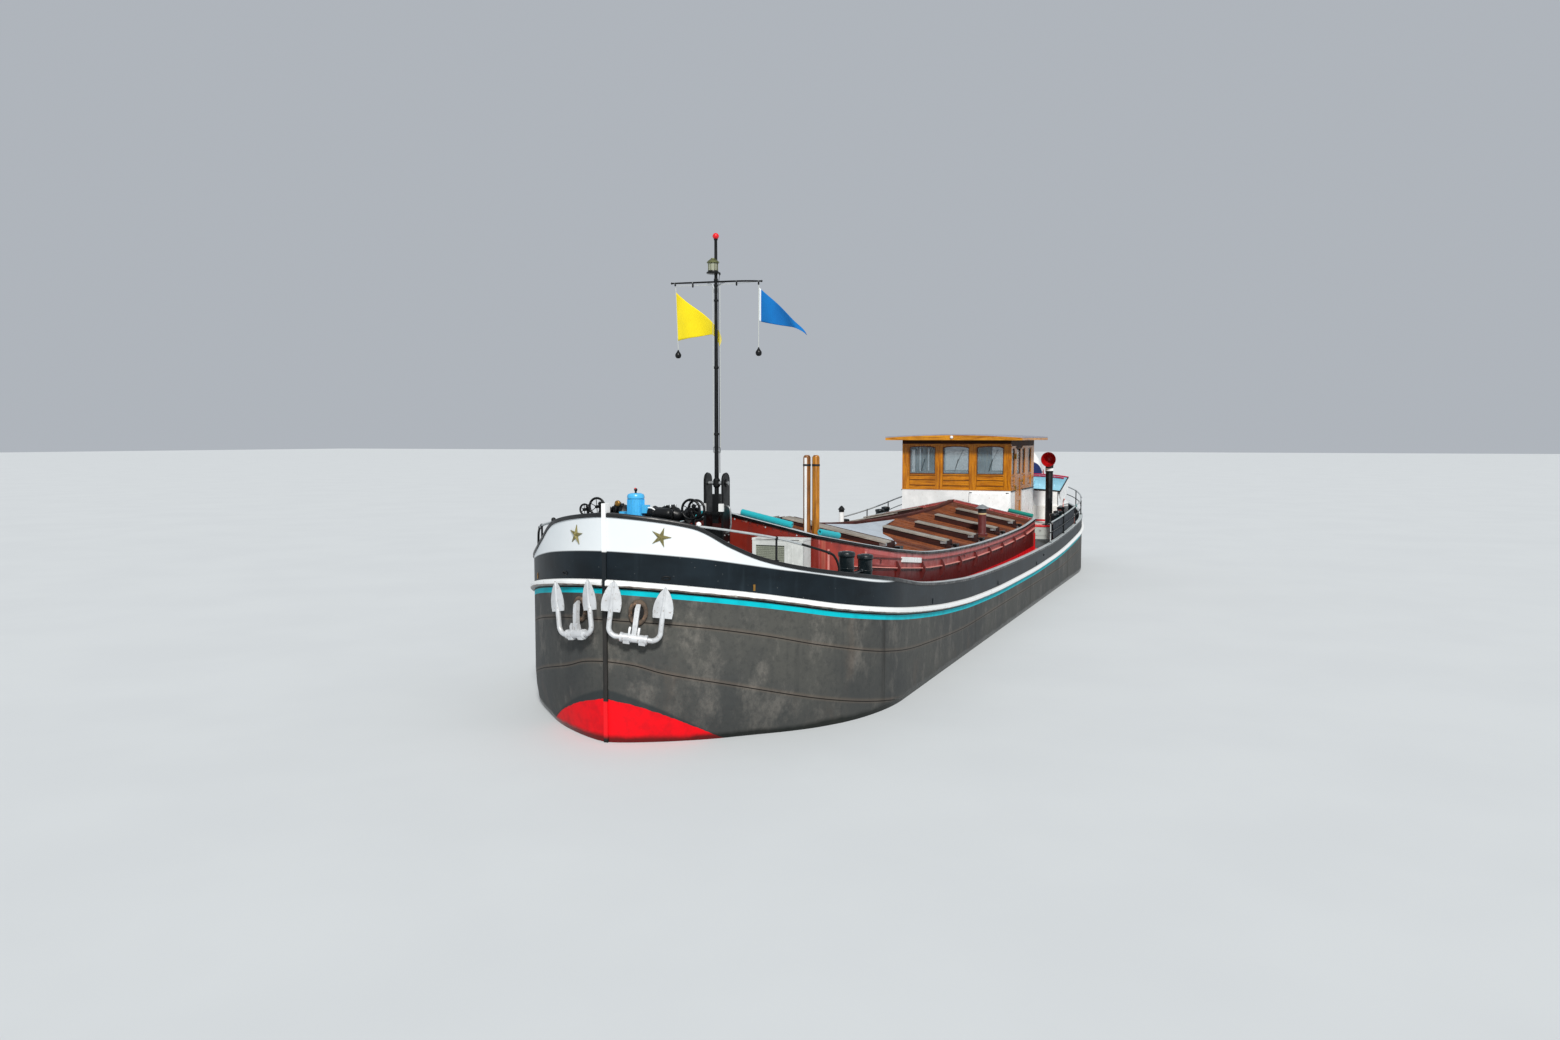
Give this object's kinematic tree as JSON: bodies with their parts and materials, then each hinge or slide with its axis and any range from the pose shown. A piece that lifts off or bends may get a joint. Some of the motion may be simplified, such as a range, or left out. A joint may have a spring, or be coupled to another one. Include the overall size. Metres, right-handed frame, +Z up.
{
  "type": "river motor barge",
  "caption": "Steel inland motor barge with a gabled cargo hatch, wooden wheelhouse aft, low bow windlass, anchors and a lowering signal mast.",
  "frame": {"origin": "amidships on the centreline at the level of the water it floats in", "axes": "+X to the bow, +Y to port, +Z up"},
  "size_m": [22.7508, 4.86, 7.0808],
  "materials": {
    "hull_paint": "weathered grey paint",
    "slate_paint": "satin",
    "white_paint": "gloss",
    "black_paint": "satin",
    "oxide_paint": "satin",
    "hatch_boards": "weathered",
    "varnished_wood": "varnished",
    "timber": "weathered",
    "anchor_paint": "silver paint",
    "rusty_steel": "rusty",
    "bronze": "tarnished",
    "pad_fabric": "woven",
    "yellow_cloth": "woven",
    "blue_cloth": "woven",
    "ensign_cloth": "woven",
    "pale_plastic": "satin",
    "window_glass": "clear"
  },
  "bodies": {
    "boat": {"hull": "hull_paint", "engine": "slate_paint", "stem_post": "slate_paint", "skeg": "slate_paint", "rubbing_strake_port": "white_paint", "rubbing_strake_starboard": "white_paint", "bulwark_bow_port": "white_paint", "bulwark_bow_starboard": "white_paint", "bulwark_side_port": "slate_paint", "bulwark_side_starboard": "slate_paint", "bulwark_stern": "slate_paint", "anchor_port": "anchor_paint", "anchor_starboard": "anchor_paint", "hawse_ring_port": "rusty_steel", "hawse_ring_starboard": "rusty_steel", "bollards_fore_port": "black_paint", "bollards_fore_starboard": "black_paint", "bollards_aft_port": "black_paint", "bollards_aft_starboard": "black_paint", "hand_rail_port": "black_paint", "hand_rail_starboard": "black_paint", "hatch_coaming": "oxide_paint", "hatch_roof_port": "hatch_boards", "hatch_roof_starboard": "hatch_boards", "windlass_frame": "black_paint", "mast_tabernacle": "black_paint", "timber_posts": "timber", "air_conditioner": "pale_plastic", "stove_pipe": "rusty_steel", "vent_pipe": "white_paint", "edge_pad_inner": "pad_fabric", "edge_pad_outer": "pad_fabric", "edge_pad_starboard": "pad_fabric", "edge_pad_aft": "pad_fabric", "wheelhouse_base": "white_paint", "wheelhouse_front": "varnished_wood", "wheelhouse_side_port": "varnished_wood", "wheelhouse_side_starboard": "varnished_wood", "wheelhouse_back": "varnished_wood", "wheelhouse_roof": "pale_plastic", "steering_console": "varnished_wood", "aft_cabin": "white_paint", "side_locker": "white_paint", "tender": "white_paint", "tender_chocks": "timber", "cowl_tube": "black_paint", "stern_rail": "black_paint", "ensign_staff": "varnished_wood", "ensign": "ensign_cloth"},
    "propeller": {"propeller": "bronze"},
    "rudder": {"rudder": "slate_paint"},
    "windlass": {"windlass_shaft": "black_paint"},
    "mast": {"mast": "black_paint", "pennant_yellow": "yellow_cloth", "pennant_blue": "blue_cloth"},
    "door_port": {"wheelhouse_door_port": "varnished_wood"},
    "door_starboard": {"wheelhouse_door_starboard": "varnished_wood"},
    "helm": {"steering_wheel": "varnished_wood"},
    "cowl": {"cowl_head": "black_paint"}
  },
  "joints": [
    {"name": "propeller_spin", "type": "hinge", "parent": "boat", "child": "propeller", "pos_m": [-9.58, 0, -0.62], "axis": [1, 0, 0], "continuous": true},
    {"name": "rudder_steer", "type": "hinge", "parent": "boat", "child": "rudder", "pos_m": [-10.17, 0, -0.62], "axis": [0, 0, 1], "range_deg": [-40, 40]},
    {"name": "helm_turn", "type": "hinge", "parent": "boat", "child": "helm", "pos_m": [-4.65, 0, 2.06], "axis": [1, 0, 0], "range_deg": [-540, 540]},
    {"name": "windlass_turn", "type": "hinge", "parent": "boat", "child": "windlass", "pos_m": [10.37, 0, 2.43], "axis": [0, 1, 0], "continuous": true},
    {"name": "mast_lower", "type": "hinge", "parent": "boat", "child": "mast", "pos_m": [8.5, 0, 2.72], "axis": [0, -1, 0], "range_deg": [0, 86]},
    {"name": "door_port_open", "type": "hinge", "parent": "boat", "child": "door_port", "pos_m": [-4.467, 1.2845, 2.145], "axis": [0, 0, -1], "range_deg": [0, 95]},
    {"name": "door_starboard_open", "type": "hinge", "parent": "boat", "child": "door_starboard", "pos_m": [-4.467, -1.2845, 2.145], "axis": [0, 0, 1], "range_deg": [0, 95]},
    {"name": "cowl_swivel", "type": "hinge", "parent": "boat", "child": "cowl", "pos_m": [-6.05, 1.77, 2.48], "axis": [0, 0, 1], "continuous": true}
  ],
  "couplings": [
    {"joint": "helm_turn", "follows": "rudder_steer", "ratio": 13.5}
  ]
}
